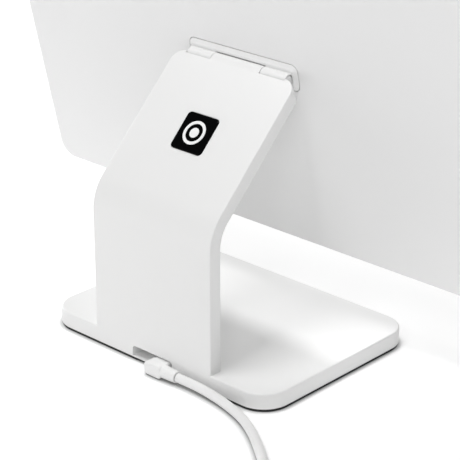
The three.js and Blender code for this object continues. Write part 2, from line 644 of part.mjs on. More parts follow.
// rear cover: a shallow tray with a pocket for the mount, a window for its boss, and screw posts
const frameScrewSpots = [1, -1].flatMap((side) => [1, -1].map((end) => [
  side * (screenWidth / 2 - 14), end * (screenHeight / 2 - 14)]));
const buttonY = (coverInnerY + frameBackY) / 2;
const speakerX = screenWidth / 2 - 66;
const speakerSlot = 6;
function rearCoverSolid() {
  const tray = new THREE.ExtrudeGeometry(
    roundedRectangle(screenWidth - 2 * coverEdge, screenHeight - 2 * coverEdge, screenCorner - coverEdge), {
      depth: coverDepth, bevelEnabled: true, bevelThickness: coverEdge, bevelSize: coverEdge,
      bevelSegments: 2, curveSegments: 5,
    }).rotateX(Math.PI / 2).translate(0, backY - coverEdge, 0);
  const beyond = block(-screenWidth, screenWidth, coverFrontY - 2 * coverDepth, coverFrontY,
    -screenHeight, screenHeight);
  const hollow = panel(roundedRectangle(screenWidth - 2 * coverWall, screenHeight - 2 * coverWall,
    screenCorner - coverWall), coverFrontY - overrun, coverInnerY);
  const pocket = panel(roundedRectangle(mountWidth + 2 * gap, mountHeight + 2 * gap, mountCorner + gap),
    backY - 2 * gap, backY + overrun);
  const opening = panel(roundedRectangle(mountBoss[0] + 2 * gap, mountBoss[1] + 2 * gap, 2 + gap),
    coverInnerY - overrun, backY);
  const postEnd = frameBackY + gap;
  const boreEnd = coverInnerY - 0.2;
  const posts = frameScrewSpots.map(([x, z]) => without(
    solid(new THREE.CylinderGeometry(screwBoss, screwBoss, coverInnerY + 0.5 - postEnd, 12)
      .translate(x, (coverInnerY + 0.5 + postEnd) / 2, z)),
    solid(new THREE.CylinderGeometry(screwRadius + gap, screwRadius + gap, boreEnd - postEnd + overrun, 12)
      .translate(x, (boreEnd + postEnd - overrun) / 2, z))));
  const buttonHole = block(screenWidth / 2 - 2 * coverWall, screenWidth / 2 + overrun,
    buttonY - buttonThickness / 2 - gap, buttonY + buttonThickness / 2 + gap,
    buttonUp - buttonLength / 2 - gap, buttonUp + buttonLength / 2 + gap);
  const slots = sides.flatMap(([, side]) => [-2, -1, 0, 1, 2].map((k) => {
    const x = side * speakerX + k * (speakerSlot + 3);
    return solid(block(x - speakerSlot / 2, x + speakerSlot / 2, buttonY - 0.7, buttonY + 0.7,
      -screenHeight / 2 - overrun, -screenHeight / 2 + 2 * coverWall));
  }));
  const body = joined(without(solid(tray), solid(beyond), solid(hollow)), ...posts);
  return without(body, solid(pocket), solid(opening), solid(buttonHole), ...slots);
}
place(screen, 'rear_cover', rearCoverSolid(), whitePlastic);

// steel bracket inside the cover that the mount is screwed to
const bracketWidth = mountWidth + 20;
const bracketHeight = mountHeight + 24;
const mountScrewLength = 3.8;
const mountScrewHead = 1.7;
const bracket = without(
  solid(panel(roundedRectangle(bracketWidth, bracketHeight, 4), bracketFrontY, bracketBackY)),
  ...mountScrewSpots.map(([x, z]) => solid(
    screwSeat(4, mountScrewHead, mountScrewRadius).translate(x, bracketFrontY, z))),
  solid(new THREE.CylinderGeometry(leadRadius + gap, leadRadius + gap, 8, 10)
    .translate(0, bracketFrontY, leadPortZ)));
place(screen, 'hinge_bracket', bracket, steel);
mountScrewSpots.forEach(([x, z], i) => place(screen, `mount_screw_${i + 1}`,
  screw(mountScrewLength, mountScrewHead, mountScrewRadius).translate(x, bracketFrontY + gap / 2, z), steel));

// mid frame with its screws, backlight, panel, gasket and touch glass
const frameWidth = screenWidth - 2 * (coverWall + gap);
const frameHeight = screenHeight - 2 * (coverWall + gap);
const leadSlot = block(14, 26, frameFrontY - overrun, frameBackY + overrun, 20, 26);
const frameOutline = roundedRectangle(frameWidth, frameHeight, screenCorner - coverWall - gap);
const midFrame = without(
  solid(panel(frameOutline, frameFrontY, frameBackY)),
  solid(leadSlot),
  ...frameScrewSpots.map(([x, z]) => solid(screwSeat(3).translate(x, frameFrontY, z))));
place(screen, 'mid_frame', midFrame, aluminium);
const frameScrewLength = coverInnerY - frameFrontY - 0.8;
frameScrewSpots.forEach(([x, z], i) => place(screen, `frame_screw_${i + 1}`,
  screw(frameScrewLength).translate(x, frameFrontY + gap / 2, z), steel));
const lcdOutline = roundedRectangle(lcdWidth, lcdHeight, 1);
place(screen, 'backlight', panel(lcdOutline, lcdBackY + gap, backlightBackY), aluminium);
place(screen, 'lcd_panel', panel(lcdOutline, lcdFrontY, lcdBackY), darkPlastic);
const gasket = without(
  solid(panel(frameOutline, lcdFrontY, backlightBackY)),
  solid(panel(roundedRectangle(lcdWidth + 2 * gap, lcdHeight + 2 * gap, 1 + gap),
    lcdFrontY - overrun, backlightBackY + overrun)));
place(screen, 'glass_gasket', gasket, rubber);
place(screen, 'touch_glass', panel(
  roundedRectangle(screenWidth - 2 * glassInset, screenHeight - 2 * glassInset, screenCorner - glassInset),
  glassBackY - glassThickness, glassBackY), glass);

// electronics behind the mid frame
const boardBack = bracketFrontY - 0.6;
place(screen, 'main_board', block(-bracketWidth / 2 - 84, -bracketWidth / 2 - 6, boardBack - boardThickness,
  boardBack, -34, 40), boardGreen);
place(screen, 'heat_spreader', block(-bracketWidth / 2 - 66, -bracketWidth / 2 - 26, boardBack + gap,
  coverInnerY - gap, -14, 22), aluminium);
for (const [word, side] of sides) {
  const [x0, x1] = span(side, speakerX - 25, speakerX + 25);
  place(screen, `speaker_${word}`, block(x0, x1, frameBackY + 0.6, coverInnerY - 0.6,
    -screenHeight / 2 + coverWall + 0.5, -screenHeight / 2 + coverWall + 14), darkPlastic);
}

// screen half of the lead: out of the hinge's middle, through the mount, across to the board
const reach = (radius, degrees) => {
  const angle = THREE.MathUtils.degToRad(degrees);
  return [radius * Math.cos(angle), radius * Math.sin(angle)];
};
const innerLeadY = bracketFrontY - leadRadius - 0.5;
const screenLeadPoints = [
  [0, ...reach(leadRadius + 0.7, 218)],
  [0, backY + 0.1, leadPortZ + 0.2],
  [0, coverInnerY + 0.3, leadPortZ],
  [0, bracketFrontY + 0.2, leadPortZ],
  [-1.2, innerLeadY + 0.15, leadPortZ],
  [-6, innerLeadY, leadPortZ],
  [-bracketWidth / 4, innerLeadY, leadPortZ + 1],
  [-bracketWidth / 2 - 5 + leadRadius, innerLeadY, leadPortZ + 1],
];
place(screen, 'screen_lead', cordAlong(screenLeadPoints, leadRadius, 8, 24), darkPlastic);

// power button in the edge, with the switch and small board behind it
const edgeX = screenWidth / 2;
const flangeThickness = 0.8;
const flangeBack = edgeX - coverWall - gap - flangeThickness;
const switchFace = flangeBack - buttonTravel - 0.3;
const buttonCap = panel(roundedRectangle(buttonThickness, buttonLength, buttonThickness / 2), 0,
  coverWall + gap + buttonProud + 0.1);
const turnSideways = (geometry) => geometry.rotateZ(-Math.PI / 2);
const flange = block(0, flangeThickness, -buttonThickness / 2 - 0.7, buttonThickness / 2 + 0.7,
  -buttonLength / 2 - 1.2, buttonLength / 2 + 1.2);
const button = joined(solid(turnSideways(buttonCap).translate(flangeThickness - 0.1, 0, 0)), solid(flange));
place(screen, 'power_button', geometryOf(button).translate(flangeBack, buttonY, buttonUp), whitePlastic);
place(screen, 'power_switch', block(switchFace - 1.6, switchFace, buttonY - 1.3, buttonY + 1.3,
  buttonUp - 2, buttonUp + 2), darkPlastic);
place(screen, 'key_board', block(switchFace - 1.6 - gap - 0.8, switchFace - 1.6 - gap, frameBackY + 0.5,
  coverInnerY - 0.5, buttonUp - 10, buttonUp + 10), boardGreen);

// charging cord

// right-angle plug: moulded block behind the base, its nose in the bay, a metal tip in the socket
const plugLeft = socketX + plugWidth / 2;
const plugRight = socketX - plugWidth / 2;
const nose = block(plugRight, plugLeft, socketMouth + gap, rear + gap + overrun, bayLow + gap,
  Math.min(plugLift + plugHeight, bayHigh - gap));
const plugBevel = 1.1;
const plugBlock = moulded(plugWidth, plugHeight, plugReach, plugBevel).translate(socketX, rear + gap, plugZ);
place(stand, 'plug_body', joined(solid(plugBlock), solid(nose)), cordPlastic);
const tipEnd = socketMouth - socketDepth + 2.2;
const tip = without(
  solid(panel(roundedRectangle(tipWidth, tipHeight, tipHeight / 2), tipEnd, socketMouth)),
  solid(panel(roundedRectangle(tipWidth - 2 * socketWall, tipHeight - 2 * socketWall, tipHeight / 2),
    tipEnd - overrun, socketMouth - 0.8)));
place(stand, 'plug_tip', geometryOf(tip).translate(socketX, 0, socketZ), steel);

// tapered strain relief with shallow ribs, then the cord
const reliefStart = plugRight - gap;
const reliefEnd = reliefStart - reliefLength;
const ribs = 5;
const ribDepth = 0.3;
const reliefProfile = [[0, 0]];
for (let k = 0; k < ribs; k += 1) {
  const radius = reliefRadius + ((cordRadius + 0.5 - reliefRadius) * k) / ribs;
  const [from, to] = [(k * reliefLength) / ribs, ((k + 0.6) * reliefLength) / ribs];
  reliefProfile.push([radius, from], [radius, to]);
  reliefProfile.push([radius - ribDepth, to], [radius - ribDepth, ((k + 1) * reliefLength) / ribs]);
}
reliefProfile.push([0, reliefLength]);
place(stand, 'plug_relief', turned(reliefProfile, 14).rotateZ(Math.PI / 2)
  .translate(reliefStart, plugY, plugZ), cordPlastic);

// The cord's route is a list of points chosen by hand. It leaves the relief, sinks to the table
// round the base's corner, and runs tangent into a round coil of the length that is put away.
const cordLie = cordRadius + 0.1;
const coilX = -133;
const coilY = 152;
const coilRadius = 30;          // at the middle of its turns
const coilHalfWidth = 7.6;
const coilHeight = 14;
const cordPoints = [
  [-22.9, 62.5, 4.0],
  [-27, 62.3, 3.9],
  [-33, 62.2, 3.8],
  [-40, 62.3, 3.6],
  [-47, 62.8, 3.3],
  [-54, 63.7, 3.0],
  [-61.5, 65.2, 2.7],
  [-70, 67.7, cordLie],
  [-77, 70.6, cordLie],
  [-84, 74.4, cordLie],
  [-91, 78.9, cordLie],
  [-98, 84, cordLie],
  [-105, 89.4, cordLie],
  [-113, 95.7, cordLie],
  [-122, 102.7, cordLie],
  [-128.8, 108, cordLie],
  [-133.6, 111.9, cordLie],
];
const coilExit = coilY + coilRadius + 2 * cordRadius;
const tailEnd = [-90, 3.9];     // its place along X, and its height
const tailPoints = [
  [-113.8, coilExit, 9.2],
  [-107, coilExit, 6.9],
  [-101, coilExit, 5.1],
  [-95, coilExit, 4.1],
  [tailEnd[0], coilExit, tailEnd[1]],
];
place(stand, 'charging_cord', cordAlong(cordPoints, cordRadius, 10, 40), cordPlastic);
place(stand, 'cord_tail', cordAlong(tailPoints, cordRadius, 10, 10), cordPlastic);
const [coilIn, coilOut] = [coilRadius - coilHalfWidth, coilRadius + coilHalfWidth];
const coilChamfer = 2;
place(stand, 'cord_coil', turned([
  [coilIn + coilChamfer, 0], [coilOut - coilChamfer, 0],
  [coilOut, coilChamfer], [coilOut, coilHeight - coilChamfer],
  [coilOut - coilChamfer, coilHeight], [coilIn + coilChamfer, coilHeight],
  [coilIn, coilHeight - coilChamfer], [coilIn, coilChamfer], [coilIn + coilChamfer, 0]], 36)
  .rotateX(Math.PI / 2).translate(coilX, coilY, 0), cordPlastic);

// tie: a strap over the coil's turns
const tieThickness = 1;
const tieWidth = 9;
const tieShape = new THREE.Shape();
const tieIn = Math.sqrt(coilIn ** 2 - tieWidth ** 2 / 4) - gap;
const [tieOut, tieTop] = [coilOut + gap, coilHeight + gap];
tieShape.moveTo(tieIn - tieThickness, 0);
tieShape.lineTo(tieIn - tieThickness, tieTop + tieThickness);
tieShape.lineTo(tieOut + tieThickness, tieTop + tieThickness).lineTo(tieOut + tieThickness, 0);
tieShape.lineTo(tieOut, 0).lineTo(tieOut, tieTop).lineTo(tieIn, tieTop).lineTo(tieIn, 0);
place(stand, 'coil_tie', profile(tieShape, -tieWidth / 2, tieWidth / 2)
  .rotateZ(-Math.PI / 2).translate(coilX, coilY, 0), rubber);

// straight plug at the far end, lying beside the coil
const endPlug = new THREE.Group();
endPlug.position.set(tailEnd[0] + gap, coilExit, tailEnd[1]);
stand.add(endPlug);
const endReliefLength = 8;
const endBodyLength = 19;
place(endPlug, 'end_relief', turned([
  [0, 0], [cordRadius + 0.3, 0], [cordRadius + 0.3, 1],
  [cordRadius + 0.7, endReliefLength], [0, endReliefLength]], 14).rotateZ(-Math.PI / 2), cordPlastic);
const endStart = endReliefLength + gap;
const endBody = moulded(plugWidth, plugHeight, endBodyLength, plugBevel)
  .rotateZ(-Math.PI / 2).translate(endStart, 0, 0);
place(endPlug, 'end_plug_body', endBody, cordPlastic);
const endTip = panel(roundedRectangle(tipWidth + 0.7, tipHeight + 0.6, 1.2), 0, 6.6).rotateZ(-Math.PI / 2);
place(endPlug, 'end_plug_tip', endTip.translate(endStart + endBodyLength + gap, 0, 0), steel);

export default terminal;
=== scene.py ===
# Point-of-sale touchscreen terminal on its stand, seen from behind, with its charging cord plugged in.
import json
import math
import bpy
import numpy as np
from mathutils import Matrix, Vector


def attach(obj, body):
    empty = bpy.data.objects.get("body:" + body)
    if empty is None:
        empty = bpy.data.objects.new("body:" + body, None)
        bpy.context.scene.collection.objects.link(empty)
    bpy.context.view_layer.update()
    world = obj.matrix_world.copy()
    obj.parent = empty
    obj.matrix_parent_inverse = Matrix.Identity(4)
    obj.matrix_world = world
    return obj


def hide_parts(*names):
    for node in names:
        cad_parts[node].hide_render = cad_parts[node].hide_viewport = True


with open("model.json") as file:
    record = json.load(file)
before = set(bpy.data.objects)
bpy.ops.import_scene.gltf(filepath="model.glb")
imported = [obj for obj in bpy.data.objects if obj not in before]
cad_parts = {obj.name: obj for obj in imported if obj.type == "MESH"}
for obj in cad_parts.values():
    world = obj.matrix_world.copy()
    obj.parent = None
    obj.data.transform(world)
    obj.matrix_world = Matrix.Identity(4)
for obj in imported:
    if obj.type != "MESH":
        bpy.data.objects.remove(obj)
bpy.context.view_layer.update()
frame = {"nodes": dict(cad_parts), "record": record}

mm = 0.001
print("frame loaded:", len(frame["nodes"]), "nodes")

# camera and light

cameraView = {"place": (-0.5992, 0.6391, 0.4381), "azimuth": 223.10, "elevation": 23.34, "lens": 140.357}


def aimedMatrix(place, azimuth, elevation):
    # azimuth 0 looks along +Y; the matrix's columns are right, up and back
    a, e = math.radians(azimuth), math.radians(elevation)
    back = Vector((math.sin(a) * math.cos(e), -math.cos(a) * math.cos(e), math.sin(e)))
    right = Vector((math.cos(a), math.sin(a), 0))
    turn = Matrix((right, back.cross(right), back)).transposed()
    return Matrix.Translation(place) @ turn.to_4x4()


cameraData = bpy.data.cameras.new("camera")
cameraData.lens, cameraData.sensor_width = cameraView["lens"], 36
cameraData.clip_start, cameraData.clip_end = 0.01, 50
camera = bpy.data.objects.new("camera", cameraData)
bpy.context.collection.objects.link(camera)
camera.matrix_world = aimedMatrix(cameraView["place"], cameraView["azimuth"], cameraView["elevation"])
bpy.context.scene.camera = camera

# a high key, a small box in front and to the right that throws the arm's shadow on the base, and wide fills
studio = {"worldStrength": 0.194, "exposure": 0.0, "aim": (0, 0, 0.1), "lampDistance": 2.2}
lamps = {
    "keySoftbox": {"towards": (0.2, 0.5, 1.6), "size": 0.9, "power": 23},
    "frontRightBox": {"towards": (0.7, -0.8, 0.7), "size": 0.4, "power": 11.8},
    "frontFill": {"towards": (0.2, -1.0, 0.5), "size": 0.9, "power": 10.9},
    "rightFill": {"towards": (1.0, -0.3, 0.2), "size": 0.9, "power": 18},
    "cameraFill": {"towards": (-0.6, 0.8, 0.7), "size": 0.9, "power": 8.4},
    "rearBox": {"towards": (-0.1, 1.0, 0.8), "size": 0.4, "power": 3.7},
}


def softbox(name, settings):
    data = bpy.data.lights.new(name, "AREA")
    data.shape, data.size, data.energy = "DISK", settings["size"], settings["power"]
    lamp = bpy.data.objects.new(name, data)
    bpy.context.collection.objects.link(lamp)
    towards = Vector(settings["towards"]).normalized()
    lamp.location = Vector(studio["aim"]) + towards * studio["lampDistance"]
    lamp.rotation_euler = towards.to_track_quat("Z", "Y").to_euler()


for lampName, lampSettings in lamps.items():
    softbox(lampName, lampSettings)
world = bpy.data.worlds.new("studioRoom")
bpy.context.scene.world = world
world.use_nodes = True
world.node_tree.nodes["Background"].inputs["Strength"].default_value = studio["worldStrength"]
world.node_tree.nodes["Background"].inputs["Color"].default_value = (1, 1, 1, 1)
bpy.context.scene.view_settings.view_transform = "Standard"
bpy.context.scene.view_settings.exposure = studio["exposure"]

# materials


def toLinear(hexColour):
    # sRGB hex to the linear numbers that shaders take
    part = np.array([int(hexColour[i:i + 2], 16) / 255 for i in (1, 3, 5)])
    return (*np.where(part <= 0.04045, part / 12.92, ((part + 0.055) / 1.055) ** 2.4), 1.0)


def node(tree, kind, settings=None, links=None):
    # adds a node; settings are sockets by name or number, or properties; links are socket: (node, output)
    made = tree.nodes.new(kind)
    for key, value in (settings or {}).items():
        if isinstance(key, int) or key in made.inputs:
            made.inputs[key].default_value = value
        else:
            setattr(made, key, value)
    for key, (source, output) in (links or {}).items():
        tree.links.new(source.outputs[output], made.inputs[key])
    return made


def startMaterial(name, settings):
    material = bpy.data.materials.new(name)
    material.use_nodes = True
    tree = material.node_tree
    shader = tree.nodes["Principled BSDF"]
    for key, value in settings.items():
        shader.inputs[key].default_value = value
    place = node(tree, "ShaderNodeTexCoord")
    return material, tree, shader, place


def grainy(name, colour, darker, grainMm, bump, roughness, spread, **shaderSettings):
    # a base colour that wanders slightly, with a fine grain in its height and its roughness
    material, tree, shader, place = startMaterial(name, {"Roughness": roughness, **shaderSettings})
    cloud = node(tree, "ShaderNodeTexNoise", {"Scale": 9.0, "Detail": 3.0}, {"Vector": (place, "Object")})
    tint = node(tree, "ShaderNodeMix", {"data_type": "RGBA", 6: toLinear(colour), 7: toLinear(darker)},
                {"Factor": (cloud, "Fac")})
    tree.links.new(tint.outputs[2], shader.inputs["Base Color"])
    grain = node(tree, "ShaderNodeTexNoise", {"Scale": 1000 / grainMm, "Detail": 2.0, "Roughness": 0.6},
                 {"Vector": (place, "Object")})
    gloss = node(tree, "ShaderNodeMapRange", {"To Min": roughness - spread, "To Max": roughness + spread},
                 {"Value": (grain, "Fac")})
    tree.links.new(gloss.outputs["Result"], shader.inputs["Roughness"])
    relief = node(tree, "ShaderNodeBump", {"Strength": bump, "Distance": 0.0001}, {"Height": (grain, "Fac")})
    tree.links.new(relief.outputs["Normal"], shader.inputs["Normal"])
    return material


# polyester powder coat, sprayed and baked on a casting: satin, with a faint orange peel about 2 mm wide
powderCoat = grainy("whitePowderCoat", "#EFEFEF", "#EBEBEA", 2.2, 0.10, 0.42, 0.04, IOR=1.5)
# ABS, moulded in a spark-eroded tool: an even fine grain, about 0.3 mm, drawn at 0.7 mm so that it shows
mouldedAbs = grainy("mouldedWhiteAbs", "#F0F0F0", "#EDEDED", 0.7, 0.16, 0.48, 0.05, IOR=1.53)
# thermoplastic elastomer, extruded over the cord's wires and moulded round its plugs: soft, faintly waxy
elastomer = grainy("whiteElastomer", "#F2F2F2", "#EDEDEC", 1.4, 0.12, 0.5, 0.05, IOR=1.5)
# cast acrylic, polished: deep smooth black, its reflections kept faint so that it stays dark among the boxes
blackAcrylic = grainy("polishedBlackAcrylic", "#040405", "#060607", 6.0, 0.02, 0.09, 0.02,
                      **{"IOR": 1.49, "Specular IOR Level": 0.06})
# white enamel ink, screen printed thick: slightly raised, semi-gloss
whiteEnamel = grainy("whiteEnamelInk", "#FAFAFA", "#F4F4F4", 0.8, 0.05, 0.3, 0.03, IOR=1.5)
# nitrile rubber sheet, die cut: matt charcoal with a dusty bloom
rubberSheet = grainy("nitrileRubberSheet", "#262627", "#343435", 0.6, 0.5, 0.85, 0.08, IOR=1.52)
# mild steel, zinc plated: grey satin metal with small clouded crystals
zincSteel = grainy("zincPlatedSteel", "#A8ABAF", "#95989C", 1.2, 0.15, 0.34, 0.08, Metallic=1.0)
# nickel-plated brass shells of the plugs: smooth and bright
nickelShell = grainy("nickelPlatedShell", "#C9C6C0", "#BDBAB4", 2.0, 0.04, 0.2, 0.04, Metallic=1.0)
# rolled aluminium sheet, pressed: pale matt metal
sheetAluminium = grainy("rolledAluminium", "#C3C5C8", "#B7B9BC", 1.5, 0.2, 0.4, 0.06, Metallic=1.0)
# glass-fibre board under green solder mask, where the weave shows faintly
circuitBoard = grainy("greenSolderMask", "#1F5A3C", "#1B5036", 0.5, 0.3, 0.38, 0.05, IOR=1.55)
# glass-filled nylon, moulded: black, matt, slightly mottled by the fibres
blackNylon = grainy("mouldedBlackNylon", "#1A1A1B", "#222223", 0.8, 0.3, 0.55, 0.08, IOR=1.53)

slotMaterials = {
    "white_paint": powderCoat, "white_plastic": mouldedAbs, "cord_plastic": elastomer,
    "badge_black": blackAcrylic, "emblem_white": whiteEnamel, "rubber": rubberSheet, "steel": zincSteel,
    "aluminium": sheetAluminium, "circuit_board": circuitBoard, "dark_plastic": blackNylon,
    "touch_glass": blackAcrylic,
}
for row in frame["record"]["subparts"]:
    cadNode = frame["nodes"][row["node"]]
    cadNode.data.materials.clear()
    cadNode.data.materials.append(slotMaterials[row["material_slot"]])
print("materials made:", len(bpy.data.materials))

# meshes from rings


def roundedRing(width, height, corner, steps=10):
    # four quarter circles joined by straight sides: corner centre plus radius times cosine and sine
    turn = np.linspace(0, math.pi / 2, steps + 1)[None, :] + np.arange(4)[:, None] * math.pi / 2
    across = (width / 2 - corner) * np.array([1, -1, -1, 1])[:, None] + corner * np.cos(turn)
    up = (height / 2 - corner) * np.array([1, 1, -1, -1])[:, None] + corner * np.sin(turn)
    return np.stack([across, up], axis=-1).reshape(-1, 2)


def roundOver(radius, top, steps=6, margin=0.15):
    # a quarter circle from a wall onto a flat: inset is r(1 - cos), height is top - r(1 - sin);
    # a level just beyond each end keeps the wall and the flat truly flat
    turn = np.linspace(0, math.pi / 2, steps + 1)
    inset = np.concatenate([[0], radius * (1 - np.cos(turn)), [radius + margin]])
    height = np.concatenate([[top - radius - margin], top - radius * (1 - np.sin(turn)), [top]])
    return list(zip(inset, height))


def roundUnder(radius, bottom, steps=4, margin=0.15):
    # the same, from a flat up into a wall
    over = roundOver(radius, bottom, steps, margin)
    return [(inset, 2 * bottom - height) for inset, height in reversed(over)]


def stacked(width, height, corner, levels, steps=10):
    # rings of one rounded rectangle, each drawn in by its level's inset, at its level's height
    return np.stack([np.column_stack([
        roundedRing(width - 2 * inset, height - 2 * inset, max(corner - inset, 0.04), steps),
        np.full(4 * (steps + 1), level)]) for inset, level in levels])


def turnedRings(profile, steps=48):
    # a profile of (radius, height) turned about its axis: radius times cosine and sine of each angle
    profile = np.array(profile, float)
    angle = np.linspace(0, 2 * math.pi, steps, endpoint=False)
    x = profile[:, :1] * np.cos(angle)
    y = profile[:, :1] * np.sin(angle)
    return np.stack([x, y, np.broadcast_to(profile[:, 1:], x.shape)], axis=-1)


def joinRings(rings, looped=False):
    # four-sided faces between each ring and the next; ends are closed by one face unless the rings loop
    count, around = rings.shape[:2]
    ring = np.arange(count if looped else count - 1)[:, None]
    step = np.arange(around)[None, :]
    nextRing, nextStep = (ring + 1) % count, (step + 1) % around
    faces = np.stack([ring * around + step, ring * around + nextStep,
                      nextRing * around + nextStep, nextRing * around + step], axis=-1).reshape(-1, 4).tolist()
    if not looped:
        faces += [list(range(around))[::-1], list(range((count - 1) * around, count * around))]
    points = rings.reshape(-1, 3)
    corners = points[np.array(faces[:count * around - (0 if looped else around)])]
    volume = np.einsum("ij,ij->i", np.cross(corners[:, 0], corners[:, 1]), corners[:, 2]).sum() \
        + np.einsum("ij,ij->i", np.cross(corners[:, 0], corners[:, 2]), corners[:, 3]).sum()
    if not looped:  # the end faces' share, as fans
        for end in faces[-2:]:
            fan = points[end]
            volume += np.einsum("ij,ij->i", np.cross(fan[:1].repeat(len(fan) - 2, 0), fan[1:-1]), fan[2:]).sum()
    if volume < 0:
        faces = [face[::-1] for face in faces]
    return points, faces


def newPiece(name, rings, place, looped=False):
    # place turns the rings' own millimetres into the row frame's
    points, faces = joinRings(np.asarray(place(rings)) * mm, looped)
    mesh = bpy.data.meshes.new(name)
    mesh.from_pydata(points, [], faces)
    mesh.update()
    piece = bpy.data.objects.new(name, mesh)
    bpy.context.collection.objects.link(piece)
    return piece


def carve(piece, tools, how="DIFFERENCE"):
    # joins or cuts closed shells, one tool at a time, and drops the tools
    for tool in tools:
        step = piece.modifiers.new(how, "BOOLEAN")
        step.operation, step.object, step.solver = how, tool, "MANIFOLD"
        seen = piece.evaluated_get(bpy.context.evaluated_depsgraph_get())
        made = bpy.data.meshes.new_from_object(seen)
        made.name = piece.name
        piece.modifiers.clear()
        if not made.polygons:
            raise ValueError(f"{piece.name}: the cut by {tool.name} left nothing")
        piece.data = made
        bpy.data.objects.remove(tool)
    return piece


def finishPiece(piece, material, body, nodes=(), sharp=35):
    piece.data.materials.clear()
    piece.data.materials.append(material)
    piece.data.shade_smooth()
    piece.data.set_sharp_from_angle(angle=math.radians(sharp))
    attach(piece, body)
    if nodes:
        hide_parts(*nodes)
    return piece


# charging cord

cord = {
    "radius": 2.5, "length": 1.5,
    "route": [[-22.9, 62.5, 4.0], [-27, 62.3, 3.9], [-33, 62.2, 3.8], [-40, 62.3, 3.6], [-47, 62.8, 3.3],
              [-54, 63.7, 3.0], [-61.5, 65.2, 2.7], [-70, 67.7, 2.6], [-77, 70.6, 2.6], [-84, 74.4, 2.6],
              [-91, 78.9, 2.6], [-98, 84, 2.6], [-105, 89.4, 2.6], [-113, 95.7, 2.6], [-122, 102.7, 2.6],
              [-128.8, 108, 2.6], [-133.6, 111.9, 2.6]],
    "tail": [[-113.8, 187, 9.2], [-107, 187, 6.9], [-101, 187, 5.1], [-95, 187, 4.1], [-90, 187, 3.9]],
    "coilCentre": (-133, 152),
    # each turn's radius and height, from the outside of the lowest layer to the outside of the top one
    "turns": [(35, 2.6), (30, 2.6), (25, 2.6), (27.5, 6.93), (32.5, 6.93), (30, 11.26), (35, 11.26)],
    # the angle where the cord joins the coil, the part of a turn where it steps over, and its rise there
    "entry": 238.5, "stepFrom": 0.80, "hump": 0.7,
}


def smoothLine(points, spacing=1.0):
    # a centripetal Catmull-Rom curve through the points, then resampled to an even spacing
    points = np.array(points, float)
    points = np.vstack([2 * points[0] - points[1], points, 2 * points[-1] - points[-2]])
    knots = np.concatenate([[0], np.cumsum(np.linalg.norm(np.diff(points, axis=0), axis=1) ** 0.5)])
    parts = []
    for i in range(1, len(points) - 2):
        t = np.linspace(knots[i], knots[i + 1], 24, endpoint=False)[:, None]
        k, p = knots[i - 1:i + 3], points[i - 1:i + 3]
        a = [((k[j + 1] - t) * p[j] + (t - k[j]) * p[j + 1]) / (k[j + 1] - k[j]) for j in range(3)]
        b = [((k[j + 2] - t) * a[j] + (t - k[j]) * a[j + 1]) / (k[j + 2] - k[j]) for j in range(2)]
        parts.append(((k[2] - t) * b[0] + (t - k[1]) * b[1]) / (k[2] - k[1]))
    line = np.vstack([*parts, points[-2:-1]])
    along = np.concatenate([[0], np.cumsum(np.linalg.norm(np.diff(line, axis=0), axis=1))])
    at = np.linspace(0, along[-1], max(int(along[-1] / spacing), 2))
    return np.stack([np.interp(at, along, line[:, i]) for i in range(3)], axis=1)


def coilLine(settings, perTurn=24):
    # clockwise from above: the angle falls steadily, and radius and height step smoothly late in each turn
    radii, heights = np.array(settings["turns"]).T
    whole = len(radii) - 1 + (settings["entry"] - 90) / 360
    turn = np.arange(1 / perTurn, whole + 1e-6, 1 / perTurn)
    index = np.floor(turn).astype(int)
    part = np.clip((turn - index - settings["stepFrom"]) / (1 - settings["stepFrom"]), 0, 1)
    ease = part * part * (3 - 2 * part)
    after = np.minimum(index + 1, len(radii) - 1)
    radius = radii[index] + (radii[after] - radii[index]) * ease
    hump = settings["hump"] * np.sin(math.pi * part) * (heights[index] > 3)
    height = heights[index] + (heights[after] - heights[index]) * ease + hump
    angle = np.radians(settings["entry"] - 360 * turn)
    x, y = settings["coilCentre"]
    return np.column_stack([x + radius * np.cos(angle), y + radius * np.sin(angle), height])


def tube(line, radius, sides=16):
    # a circle carried along the line: each ring lies across the line's direction, without twist
    ahead = np.gradient(line, axis=0)
    ahead /= np.linalg.norm(ahead, axis=1)[:, None]
    flat = np.cross(ahead, [0, 0, 1.0])
    flat /= np.linalg.norm(flat, axis=1)[:, None]
    rise = np.cross(flat, ahead)
    angle = np.linspace(0, 2 * math.pi, sides, endpoint=False)
    return line[:, None, :] + radius * (np.cos(angle)[None, :, None] * flat[:, None, :]
                                        + np.sin(angle)[None, :, None] * rise[:, None, :])


entryAngle = math.radians(cord["entry"])
entryPoint = [cord["coilCentre"][0] + cord["turns"][0][0] * math.cos(entryAngle),
              cord["coilCentre"][1] + cord["turns"][0][0] * math.sin(entryAngle), 2.6]
cordLine = smoothLine([*cord["route"], entryPoint, *coilLine(cord), [-124, 187, 10.9], *cord["tail"]], 1.6)


def asIs(rings):
    return rings


chargingCord = newPiece("chargingCord", tube(cordLine, cord["radius"]), asIs)
finishPiece(chargingCord, elastomer, "stand", ["charging_cord", "cord_tail", "cord_coil"])
print("cord made:", round(float(np.linalg.norm(np.diff(cordLine, axis=0), axis=1).sum())), "mm")

# plugs

plug = {"x": -7.5, "y": 62.45, "z": 4.0, "width": 11.6, "height": 7.0, "reach": 7.6, "edge": 0.9, "corner": 1.5,
        "noseBack": 55.5, "noseHigh": 7.2, "noseLow": 2.4}


def aroundPlug(rings):  # rings drawn in X and Z, stacked along Y
    x, z, y = np.moveaxis(rings, -1, 0)
    return np.stack([plug["x"] + x, plug["y"] + y, plug["z"] + z], axis=-1)


